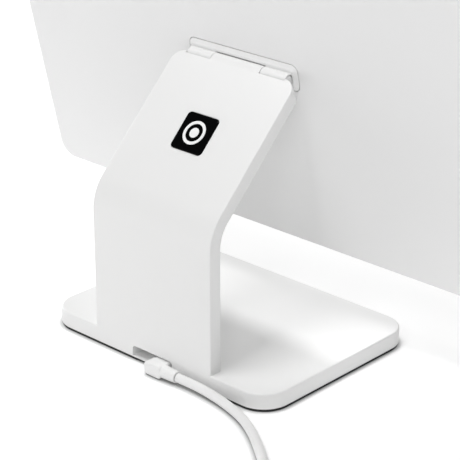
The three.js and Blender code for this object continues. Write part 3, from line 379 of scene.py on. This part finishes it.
half = plug["reach"] / 2
plugBody = newPiece("plugBody", stacked(plug["width"], plug["height"], plug["corner"], [
    *roundUnder(plug["edge"], -half, 6), *roundOver(plug["edge"], half, 6)], 8), aroundPlug)
noseMiddle = (plug["noseHigh"] + plug["noseLow"]) / 2 - plug["z"]
nose = newPiece("plugNose", stacked(plug["width"] - 0.6, plug["noseHigh"] - plug["noseLow"], 1.6, [
    *roundUnder(0.4, plug["noseBack"] - plug["y"]), (0, 0)], 6) + np.array([0, noseMiddle, 0]), aroundPlug)
finishPiece(carve(plugBody, [nose], "UNION"), elastomer, "stand", ["plug_body"])

relief = {"start": -13.3, "length": 9.3, "radius": 3.55, "endRadius": 3.2, "ribs": 4, "ribDepth": 0.22}


def alongMinusX(rings):
    x, y, along = np.moveaxis(rings, -1, 0)
    return np.stack([relief["start"] - along, plug["y"] + x, plug["z"] + y], axis=-1)


reliefProfile = [(0.01, -1.2), (relief["radius"], -1.2), (relief["radius"], 0.3)]
ribPitch = (relief["length"] - 2.6) / relief["ribs"]
for rib in range(relief["ribs"]):
    along = 0.9 + rib * ribPitch
    outer = relief["radius"] + (relief["endRadius"] - relief["radius"]) * along / relief["length"]
    between = outer - relief["ribDepth"]
    reliefProfile += [(outer, along), (outer, along + 0.45 * ribPitch),
                      (between, along + 0.6 * ribPitch), (between, along + 0.85 * ribPitch)]
endRing = relief["length"]
reliefProfile += [(relief["endRadius"], endRing - 1.6), (relief["endRadius"], endRing - 0.4),
                  (relief["endRadius"] - 0.12, endRing - 0.12), (relief["endRadius"] - 0.4, endRing),
                  (2.56, endRing), (2.56, endRing - 0.8), (0.01, endRing - 0.8)]
plugRelief = newPiece("plugRelief", turnedRings(reliefProfile, 40), alongMinusX)
finishPiece(plugRelief, elastomer, "stand", ["plug_relief"], sharp=50)

endPlug = {"x": -89.7, "y": 187, "z": 3.9, "relief": 8, "body": 19, "corner": 2.6, "edge": 1.5, "gap": 0.3,
           "tipWidth": 8.3, "tipHeight": 2.5, "tipLength": 6.6, "tipWall": 0.35, "mouthFrom": 1.5}


def alongPlusX(rings):
    side, up, along = np.moveaxis(rings, -1, 0)
    return np.stack([endPlug["x"] + along, endPlug["y"] + side, endPlug["z"] + up], axis=-1)


endReliefPiece = newPiece("endRelief", turnedRings([
    (0.01, 0), (2.9, 0), (3.0, 0.3), (3.0, 1.4), (2.8, 1.8), (2.85, 3.2), (3.1, 3.5), (3.1, 4.6), (2.9, 5.0),
    (2.95, 6.2), (3.2, 6.6), (3.2, 8.2), (0.01, 8.2)], 40), alongPlusX)
finishPiece(endReliefPiece, elastomer, "stand", ["end_relief"], sharp=50)
endStart = endPlug["relief"] + endPlug["gap"]
endBody = newPiece("endPlugBody", stacked(plug["width"], plug["height"], endPlug["corner"], [
    *roundUnder(endPlug["edge"], endStart, 6), *roundOver(1.0, endStart + endPlug["body"], 5)], 8), alongPlusX)
finishPiece(endBody, elastomer, "stand", ["end_plug_body"])
tipStart = endStart + endPlug["body"] + endPlug["gap"]
tipEnd = tipStart + endPlug["tipLength"]
mouthWidth, mouthHeight = (endPlug[size] - 2 * endPlug["tipWall"] for size in ("tipWidth", "tipHeight"))
endTip = newPiece("endPlugTip", stacked(endPlug["tipWidth"], endPlug["tipHeight"], 1.2, [
    (0, tipStart - 1), (0, tipStart), *roundOver(0.25, tipEnd, 3)], 6), alongPlusX)
mouth = newPiece("tipMouth", stacked(mouthWidth, mouthHeight, 0.85, [
    (0, tipStart + endPlug["mouthFrom"]), (0, tipEnd + 1.4)], 6), alongPlusX)
finishPiece(carve(endTip, [mouth]), nickelShell, "stand", ["end_plug_tip"])

coilTie = {"inner": 21.4, "outer": 37.9, "top": 14.3, "thickness": 1.0, "width": 9}


def tieStrap():
    # a flat band bent round the turns' section: out over the top and down both sides, on the coil's +X side
    low, high, t = coilTie["inner"], coilTie["outer"], coilTie["thickness"]
    line = smoothLine([[low, 0, 0.1], [low, 0, 7], [low + 0.6, 0, coilTie["top"] - 0.4], [low + 3, 0, 14.8],
                       [(low + high) / 2, 0, 14.9], [high - 3, 0, 14.8], [high - 0.4, 0, coilTie["top"] - 0.6],
                       [high, 0, 7], [high, 0, 0.1]], 0.8)
    ahead = np.gradient(line, axis=0)
    ahead /= np.linalg.norm(ahead, axis=1)[:, None]
    outward = np.cross(ahead, [0, 1.0, 0])
    section = roundedRing(coilTie["width"], t, 0.35, 4)
    return line[:, None, :] + section[None, :, :1] * np.array([0, 1.0, 0]) \
        + section[None, :, 1:] * outward[:, None, :]


strap = newPiece("coilTie", tieStrap() + np.array([*cord["coilCentre"], 0]), asIs)
finishPiece(strap, rubberSheet, "stand", ["coil_tie"])
print("plugs and tie made")

# base and arm

base = {"width": 160, "depth": 116.7, "corner": 16, "bottom": 1.5, "top": 10.2, "edge": 0.9}
arm = {"width": 84.4, "thickness": 7.8, "slope": 45, "bendRadius": 26, "edge": 0.7, "corner": 7.5,
       "hingeY": -8.3, "hingeZ": 149.2, "end": -0.9, "endShear": 3.9, "shearFrom": 12,
       "coverHalf": 37.9, "coverThickness": 1.6, "coverEnd": -8.7, "coverScrewX": 30.1,
       "gap": 0.3}
rear = base["depth"] / 2
slopeAngle = math.radians(arm["slope"])
outward = np.array([math.sin(slopeAngle), math.cos(slopeAngle)])     # Y and Z of the slope's outer normal
upSlope = np.array([-math.cos(slopeAngle), math.sin(slopeAngle)])
hinge = np.array([arm["hingeY"], arm["hingeZ"]])
slopeStart = hinge + outward * arm["thickness"] / 2                  # on the outer face, at the axis
bendY = rear - arm["bendRadius"]
bendZ = slopeStart[1] - (rear - slopeStart[0]) * math.tan(slopeAngle) \
    - arm["bendRadius"] * math.tan((math.pi / 2 - slopeAngle) / 2)
bendEnd = np.array([bendY, bendZ]) + arm["bendRadius"] * outward
slopeLength = float((slopeStart - bendEnd) @ upSlope)


def armStations(zStart, sEnd, fine):
    # places up the outer face and the outward normal at each: straight up, round the bend, up the slope
    turn = np.linspace(0, math.pi / 2 - slopeAngle, 25)
    up = np.array([zStart, zStart + 0.3, (zStart + bendZ) / 2, bendZ - 0.3])
    s = np.concatenate([[0.3, slopeLength / 2], slopeLength + sEnd - fine[::-1]])
    place = np.vstack([np.column_stack([np.full(4, rear), up]),
                       np.column_stack([bendY + arm["bendRadius"] * np.cos(turn),
                                        bendZ + arm["bendRadius"] * np.sin(turn)]),
                       bendEnd + s[:, None] * upSlope])
    normal = np.vstack([np.tile([1.0, 0], (4, 1)), np.column_stack([np.cos(turn), np.sin(turn)]),
                        np.tile(outward, (len(s), 1))])
    left = np.concatenate([np.full(6 + len(turn), 1e3), fine[::-1]])  # how far is left to the free end
    return place, normal, left


def armShell(half, outer, inner, zStart, sEnd, edge, corner, endRound=0.0, shear=0.0, steps=4):
    # a rounded oblong section carried up the arm; near the free end its half width follows a quarter
    # circle, its thickness is drawn in by another, and the section leans back by shear times depth squared
    reach = max(corner, endRound, 0.3)
    fine = reach * (1 - np.cos(np.linspace(0, math.pi / 2, 13)))
    fine = np.concatenate([fine, [arm["shearFrom"] + 1]]) if shear else np.concatenate([fine, [reach + 0.3]])
    place, normal, left = armStations(zStart, sEnd, fine)
    turned = np.clip(corner - left, 0, corner)
    halfWidth = half - corner + np.sqrt(np.maximum(corner ** 2 - turned ** 2, 0))
    nearEnd = np.clip(endRound - left, 0, endRound)
    drawn = endRound - np.sqrt(np.maximum(endRound ** 2 - nearEnd ** 2, 0)) if endRound else np.zeros(len(left))
    thickness = inner - outer
    unit = roundedRing(2 * half, thickness, edge, steps)
    side, depth = np.sign(unit[:, 0]), np.sign(unit[:, 1])
    x = side * (halfWidth[:, None] - (half - np.abs(unit[:, 0])))
    d = (outer + inner) / 2 + depth * (np.abs(unit[:, 1]) - np.minimum(drawn, thickness / 2 - edge)[:, None])
    lean = np.clip(1 - left / arm["shearFrom"], 0, 1)[:, None] * shear * (d / arm["thickness"]) ** 2
    y = place[:, :1] - d * normal[:, :1] - lean * upSlope[0]
    z = place[:, 1:] - d * normal[:, 1:] - lean * upSlope[1]
    return np.stack([x, y, z], axis=-1)


def onSlope(rings, s=0.0):  # rings drawn across and up the slope, stacked along its outward normal
    x, up, out = np.moveaxis(rings, -1, 0)
    y = slopeStart[0] + outward[0] * out + upSlope[0] * (up + s)
    z = slopeStart[1] + outward[1] * out + upSlope[1] * (up + s)
    return np.stack([x, y, z], axis=-1)


def aboutHinge(rings):  # rings drawn in Y and Z about the hinge axis, stacked along X
    y, z, x = np.moveaxis(rings, -1, 0)
    return np.stack([x, arm["hingeY"] + y, arm["hingeZ"] + z], axis=-1)


def barRings(radius, x0, x1, edge=0.0, steps=64):
    # a bar along the hinge axis, its ends rounded over where edge is given
    profile = [(radius, x0), (radius, x1)]
    if edge:
        turn = np.linspace(0, math.pi / 2, 5)
        start = [(radius - edge + edge * math.sin(t), x0 + edge - edge * math.cos(t)) for t in turn]
        profile = [(radius - edge - 0.15, x0), *start, (radius, x0 + edge + 0.15), (radius, x1 - edge - 0.15),
                   *[(r, x0 + x1 - x) for r, x in reversed(start)], (radius - edge - 0.15, x1)]
    return turnedRings(profile, steps)


knuckle = {"half": 17.1, "radius": 3.9, "clearance": 0.5, "outerEnd": 34.2, "web": 3.12, "edge": 0.35}
bay = {"width": 29, "low": 2.1, "high": 8.2, "corner": 2.0, "depth": 12}
badge = {"size": 21.4, "corner": 2.2, "fromHinge": 43.1, "proud": 0.6, "sunk": 0.6, "edge": 0.5, "gap": 0.3,
         "ringOuter": 6.85, "ringInner": 5.15, "dot": 2.85}

standCasting = newPiece("standCasting", stacked(base["width"], base["depth"], base["corner"], [
    *roundUnder(0.3, base["bottom"]), *roundOver(base["edge"], base["top"], 8)], 24), asIs)
armPiece = newPiece("arm", armShell(arm["width"] / 2, 0, arm["thickness"], base["bottom"] + 0.5, arm["end"],
                                    arm["edge"], arm["corner"], 0.5, arm["endShear"]), asIs)

knuckleBack, knuckleTurn = -8.2, np.linspace(-math.pi / 2, math.pi / 2, 25)


def knuckleRing(inset):
    # a half circle about the hinge axis, run back flat along both faces of the arm into its thickness
    radius = knuckle["radius"] - inset
    up = np.concatenate([[knuckleBack], radius * np.cos(knuckleTurn), [knuckleBack]])
    out = np.concatenate([[-radius], radius * np.sin(knuckleTurn), [radius]])
    return np.column_stack([up, out])


def knuckleRings(x0, x1):
    levels = [*roundUnder(knuckle["edge"], x0, 3), *roundOver(knuckle["edge"], x1, 3)]
    return np.stack([np.column_stack([np.full(len(knuckleTurn) + 2, x), knuckleRing(inset)])
                     for inset, x in levels])


def centreOnSlope(rings):
    x, up, out = np.moveaxis(rings, -1, 0)
    return onSlope(np.stack([x, up, out - arm["thickness"] / 2], axis=-1))


seam = knuckle["half"] - 0.15
centreKnuckle = newPiece("centreKnuckle", knuckleRings(-seam, seam), centreOnSlope)
carve(standCasting, [armPiece, centreKnuckle], "UNION")

notchRadius = knuckle["radius"] + knuckle["clearance"]
notches = [newPiece(f"notch{i}", barRings(notchRadius, *ends), aboutHinge)
           for i, ends in enumerate([(seam, knuckle["outerEnd"] + 0.3), (-knuckle["outerEnd"] - 0.3, -seam)])]


def bayRings():
    # a slot with round upper corners and a flat floor, run forward into the base
    ring = roundedRing(bay["width"], 2 * (bay["high"] - bay["low"]), bay["corner"], 8)
    ring[:, 1] = np.maximum(ring[:, 1], 0) + bay["low"]
    depth = np.array([rear - bay["depth"], rear + 1])
    return np.stack([np.column_stack([ring[:, 0], np.full(len(ring), y), ring[:, 1]]) for y in depth])


def atBadge(rings):
    return onSlope(rings, -badge["fromHinge"])


seatSize = badge["size"] + 2 * badge["gap"]
badgeSeat = newPiece("badgeSeat", stacked(seatSize, seatSize, badge["corner"] + badge["gap"], [
    (0, -badge["sunk"] - badge["gap"]), (0, 1)]), atBadge)
coverInside = arm["thickness"] - arm["coverThickness"]
coverSeat = newPiece("coverSeat", armShell(
    arm["coverHalf"] + arm["gap"], coverInside - arm["gap"], arm["thickness"] + 1, base["top"] + 0.01,
    arm["coverEnd"] + arm["gap"], 0.05, 0.0), asIs)
carve(standCasting, [*notches, newPiece("bay", bayRings(), asIs), badgeSeat, coverSeat])
finishPiece(standCasting, powderCoat, "stand", ["stand_casting"])

armCover = newPiece("armCover", armShell(arm["coverHalf"], coverInside, arm["thickness"],
                                         base["top"] + arm["gap"], arm["coverEnd"], 0.2, 0.0), asIs)
# countersinks for the two screws that hold it: radius and height from the arm's outer face
seatProfile = [(0.01, -8.3), (2.7, -8.3), (2.7, -7.25), (1.5, -6.1), (1.5, -5.8), (0.01, -5.8)]


def halfwayUp(rings):
    return onSlope(rings, (bendZ - arm["hingeZ"]) / 2)


screwSeats = [newPiece("screwSeat", turnedRings(seatProfile, 32) + np.array([x, 0, 0]), halfwayUp)
              for x in (-arm["coverScrewX"], arm["coverScrewX"])]
carve(armCover, screwSeats)
finishPiece(armCover, powderCoat, "stand", ["arm_inner_cover"])
print("casting made:", len(standCasting.data.polygons), "faces")

# badge: a glossy plaque let into the slope, with a plain ring and dot

badgePlate = newPiece("badgePlate", stacked(badge["size"], badge["size"], badge["corner"], [
    (0, -badge["sunk"]), *roundOver(badge["edge"], badge["proud"], 6)], 12), atBadge)
finishPiece(badgePlate, blackAcrylic, "stand", ["badge_plate"])
ink = {"low": badge["proud"] - 0.1, "high": badge["proud"] + 0.3, "edge": 0.12}
inkShoulder = ink["high"] - ink["edge"]
ringProfile = [(badge["ringInner"], ink["low"]), (badge["ringOuter"], ink["low"]),
               (badge["ringOuter"], inkShoulder), (badge["ringOuter"] - ink["edge"], ink["high"]),
               (badge["ringInner"] + ink["edge"], ink["high"]), (badge["ringInner"], inkShoulder)]
badgeRing = newPiece("badgeRing", turnedRings(ringProfile, 96), atBadge, looped=True)
finishPiece(badgeRing, whiteEnamel, "stand", ["badge_ring"])
dotProfile = [(0.01, ink["low"]), (badge["dot"], ink["low"]), (badge["dot"], inkShoulder),
              (badge["dot"] - ink["edge"], ink["high"]), (0.01, ink["high"])]
badgeDot = newPiece("badgeDot", turnedRings(dotProfile, 64), atBadge)
finishPiece(badgeDot, whiteEnamel, "stand", ["badge_dot"])
print("badge made")

# screen, in its own frame: the hinge axis is its origin, +Y its back, +Z its top edge

screen = {"lean": 12.74, "width": 336.6, "height": 204.2, "corner": 10, "back": -3.2, "depth": 12, "wall": 2,
          "edge": 1.2, "glass": 1.8, "glassInset": 0.4, "glassEdge": 0.5, "gap": 0.3,
          "frameDepth": 4.3, "picture": {"X": 309, "Z": 174},
          "buttonUp": 55, "buttonLength": 11.2, "buttonThickness": 2.8, "buttonFrom": 165.3, "buttonProud": 0.6,
          "slotX": 102.3, "slotPitch": 9, "slotLength": 6, "slotWidth": 1.4}
mount = {"width": 75.2, "height": 14.9, "corner": 3.8, "rise": 1.6, "slope": 2.2, "boss": 2.7, "sunk": 1.2,
         "groove": 0.4}
lean = math.radians(screen["lean"])
coverFront = screen["back"] - screen["depth"]
coverInner = screen["back"] - screen["wall"]


def onScreen(rings):  # rings drawn in the screen's X and Z, stacked along its Y
    x, z, y = np.moveaxis(rings, -1, 0)
    return np.stack([x, arm["hingeY"] + y * math.cos(lean) + z * math.sin(lean),
                     arm["hingeZ"] - y * math.sin(lean) + z * math.cos(lean)], axis=-1)


def acrossScreen(rings):  # rings drawn in the screen's Y and Z, stacked along X
    y, z, x = np.moveaxis(rings, -1, 0)
    return onScreen(np.stack([x, z, y], axis=-1))


footTop = screen["back"] + mount["rise"]
# its side leans in, turns over a small edge and runs on flat
footSlope = [(0, screen["back"]), (mount["slope"] - 0.25, footTop - 0.18),
             (mount["slope"] - 0.08, footTop - 0.04), (mount["slope"] + 0.15, footTop),
             (mount["slope"] + 0.4, footTop)]
hingeMount = newPiece("hingeMount", stacked(mount["width"], mount["height"], mount["corner"], [
    (mount["boss"], coverInner - 0.3), (mount["boss"], screen["back"] - mount["sunk"]),
    (0, screen["back"] - mount["sunk"]), (0, screen["back"] - 0.15), *footSlope], 12), onScreen)


def outerKnuckleRing(inset):
    # a circle about the axis whose last part, towards the screen, is drawn down into the mount's foot
    radius = knuckle["radius"] - inset
    openAngle = math.pi - math.asin(knuckle["web"] / knuckle["radius"])
    turn = np.linspace(-openAngle, openAngle, 41)
    foot = screen["back"] - 0.4
    y = np.concatenate([[foot], radius * np.cos(turn), [foot]])
    z = np.concatenate([[-knuckle["web"] + inset], radius * np.sin(turn), [knuckle["web"] - inset]])
    return np.column_stack([y, z])


def outerKnuckle(x0, x1):
    levels = [*roundUnder(knuckle["edge"], x0, 3), *roundOver(knuckle["edge"], x1, 3)]
    return np.stack([np.insert(outerKnuckleRing(inset), 2, x, axis=1) for inset, x in levels])


sides = {"Right": 1, "Left": -1}
outerKnuckles = [newPiece(f"knuckle{word}", outerKnuckle(*sorted([
    side * (seam + 0.3), side * knuckle["outerEnd"]])), acrossScreen) for word, side in sides.items()]
carve(hingeMount, outerKnuckles, "UNION")
groove = newPiece("groove", barRings(notchRadius, -seam - 0.25, seam + 0.25), acrossScreen)
capFit = {"radius": 2.7, "bore": 3.0, "start": 32.1, "floor": 32, "beyond": 35, "edge": 0.3}
capBores = [newPiece(f"capBore{word}", barRings(capFit["bore"], *sorted([
    side * capFit["floor"], side * capFit["beyond"]]), steps=48), acrossScreen)
    for word, side in sides.items()]
carve(hingeMount, [groove, *capBores])
finishPiece(hingeMount, powderCoat, "screen", ["hinge_mount"])
for word, side in sides.items():
    cap = newPiece(f"hingeCap{word}", barRings(capFit["radius"], *sorted([
        side * capFit["start"], side * knuckle["outerEnd"]]), capFit["edge"], 48), acrossScreen)
    finishPiece(cap, mouldedAbs, "screen", [f"hinge_cap_{word.lower()}"])

# rear cover: one lofted tray, from the mount's window over the back, round the edge and inside again
pocket = [mount["width"] + 2 * mount["groove"], mount["height"] + 2 * mount["groove"],
          mount["corner"] + mount["groove"]]
pocketFloor = screen["back"] - mount["sunk"] - 0.1
window = [mount["width"] - 2 * mount["boss"] + 0.6, mount["height"] - 2 * mount["boss"] + 0.6, 1.4]
steps = 16


def flatRing(size, y):
    return np.column_stack([roundedRing(*size, steps), np.full(4 * (steps + 1), y)])


outline = [screen["width"], screen["height"], screen["corner"]]
backEdge = roundOver(screen["edge"], screen["back"], 8)[::-1]
tray = [flatRing(window, coverInner), flatRing(window, pocketFloor), flatRing(pocket, pocketFloor),
        flatRing(pocket, screen["back"] - 0.15),
        flatRing([pocket[0] + 0.2, pocket[1] + 0.2, pocket[2] + 0.1], screen["back"]),
        flatRing([pocket[0] + 0.8, pocket[1] + 0.8, pocket[2] + 0.4], screen["back"])]
tray += list(stacked(*outline, [*backEdge, *roundUnder(0.3, coverFront, 3)[::-1]], steps))
innerOutline = [screen["width"] - 2 * screen["wall"], screen["height"] - 2 * screen["wall"],
                screen["corner"] - screen["wall"]]
tray += [flatRing(innerOutline, coverFront), flatRing(innerOutline, coverInner)]
rearCover = newPiece("rearCover", np.stack(tray), onScreen, looped=True)
buttonY = (coverInner + coverFront + screen["frameDepth"]) / 2     # midway between the frame and the back
buttonHole = newPiece("buttonHole", stacked(
    screen["buttonThickness"] + 0.6, screen["buttonLength"] + 0.6, 1.6, [
        (0, screen["width"] / 2 - 4), (0, screen["width"] / 2 + 2)], 8)
    + np.array([buttonY, screen["buttonUp"], 0]), acrossScreen)


def slotPlace(rings):  # rings drawn in the screen's X and Y, stacked along Z
    x, y, z = np.moveaxis(rings, -1, 0)
    return onScreen(np.stack([x, z, y], axis=-1))


speakerSlots = [newPiece(f"slot{word}{k}", stacked(screen["slotLength"], screen["slotWidth"], 0.65, [
    (0, -screen["height"] / 2 - 1), (0, -screen["height"] / 2 + 4)], 5)
    + np.array([side * screen["slotX"] + k * screen["slotPitch"], buttonY, 0]), slotPlace)
    for word, side in sides.items() for k in (-2, -1, 0, 1, 2)]
carve(rearCover, [buttonHole, *speakerSlots])
finishPiece(rearCover, mouldedAbs, "screen", ["rear_cover"])

powerButton = newPiece("powerButton", stacked(screen["buttonThickness"], screen["buttonLength"], 1.38, [
    (0, screen["buttonFrom"]), *roundOver(0.35, screen["width"] / 2 + screen["buttonProud"], 5)], 10)
    + np.array([buttonY, screen["buttonUp"], 0]), acrossScreen)
finishPiece(powerButton, mouldedAbs, "power_button", ["power_button"])

# touch glass: toughened sheet, ground edge, printed black behind; the lit area shows a shade lighter

glassBack = coverFront - screen["gap"]
glassFront = glassBack - screen["glass"]
glassOutline = [screen["width"] - 2 * screen["glassInset"], screen["height"] - 2 * screen["glassInset"],
                screen["corner"] - screen["glassInset"]]
glassLevels = [(inset, -level) for inset, level in
               [*roundUnder(0.2, -glassBack, 3), *roundOver(screen["glassEdge"], -glassFront, 6)]]
touchGlass = newPiece("touchGlass", stacked(*glassOutline, glassLevels, 20), onScreen)


def panelGlass():
    material, tree, shader, place = startMaterial("toughenedGlassOverPanel", {
        "Roughness": 0.04, "IOR": 1.52, "Coat Weight": 0.3, "Coat Roughness": 0.02})
    local = node(tree, "ShaderNodeMapping", {"vector_type": "TEXTURE",
                 "Location": (0, arm["hingeY"] * mm, arm["hingeZ"] * mm), "Rotation": (-lean, 0, 0)},
                 {"Vector": (place, "Object")})
    apart = node(tree, "ShaderNodeSeparateXYZ", {}, {"Vector": (local, "Vector")})
    inside = []
    for axis, size in screen["picture"].items():  # the lit area, inside a printed border 14 to 15 mm wide
        away = node(tree, "ShaderNodeMath", {"operation": "ABSOLUTE"}, {0: (apart, axis)})
        limits = {"From Min": (size / 2 + 0.2) * mm, "From Max": (size / 2 - 0.2) * mm}
        inside.append(node(tree, "ShaderNodeMapRange", limits, {"Value": (away, 0)}))
    area = node(tree, "ShaderNodeMath", {"operation": "MULTIPLY"}, {0: (inside[0], 0), 1: (inside[1], 0)})
    smear = node(tree, "ShaderNodeTexNoise", {"Scale": 18.0, "Detail": 4.0}, {"Vector": (place, "Object")})
    gloss = node(tree, "ShaderNodeMapRange", {"To Min": 0.03, "To Max": 0.07}, {"Value": (smear, "Fac")})
    tree.links.new(gloss.outputs["Result"], shader.inputs["Roughness"])
    colour = node(tree, "ShaderNodeMix", {"data_type": "RGBA", 6: toLinear("#050506"), 7: toLinear("#15161A")},
                  {"Factor": (area, 0)})
    tree.links.new(colour.outputs[2], shader.inputs["Base Color"])
    return material


finishPiece(touchGlass, panelGlass(), "screen", ["touch_glass"])
print("screen made:", len(rearCover.data.polygons), "faces")

# floor: a white sweep with a painted contact shadow: darker within a few millimetres of whatever stands on it,
# so that contacts read

sweep = {"half": 6, "colour": "#F8F8F8", "glow": 0.19,
         "paintedShadowReach": 0.0048, "openAbove": 0.86, "closedBelow": 0.3, "darkest": 0.3}
floorMesh = bpy.data.meshes.new("floor")
near, far = -sweep["half"], sweep["half"]
floorMesh.from_pydata([(near, near, 0), (far, near, 0), (far, far, 0), (near, far, 0)], [], [(0, 1, 2, 3)])
floor = bpy.data.objects.new("floor", floorMesh)
bpy.context.collection.objects.link(floor)
floorMaterial, floorTree, floorShader, _ = startMaterial("paleSweep", {
    "Roughness": 0.9, "Specular IOR Level": 0.0, "Emission Strength": sweep["glow"]})
# painted contact shadow: ambient occlusion darkens the floor's colour and its glow near anything standing on it
around = node(floorTree, "ShaderNodeAmbientOcclusion", {"Distance": sweep["paintedShadowReach"], "samples": 16})
paintedShadowFactor = node(floorTree, "ShaderNodeMapRange", {
    "From Min": sweep["closedBelow"], "From Max": sweep["openAbove"],
    "To Min": sweep["darkest"], "To Max": 1.0}, {"Value": (around, "AO")})
for socket, level in (("Base Color", toLinear(sweep["colour"])[0]), ("Emission Color", 1.0)):
    shade = node(floorTree, "ShaderNodeMath", {"operation": "MULTIPLY", 1: level}, {0: (paintedShadowFactor, 0)})
    floorTree.links.new(shade.outputs[0], floorShader.inputs[socket])
floorMesh.materials.append(floorMaterial)
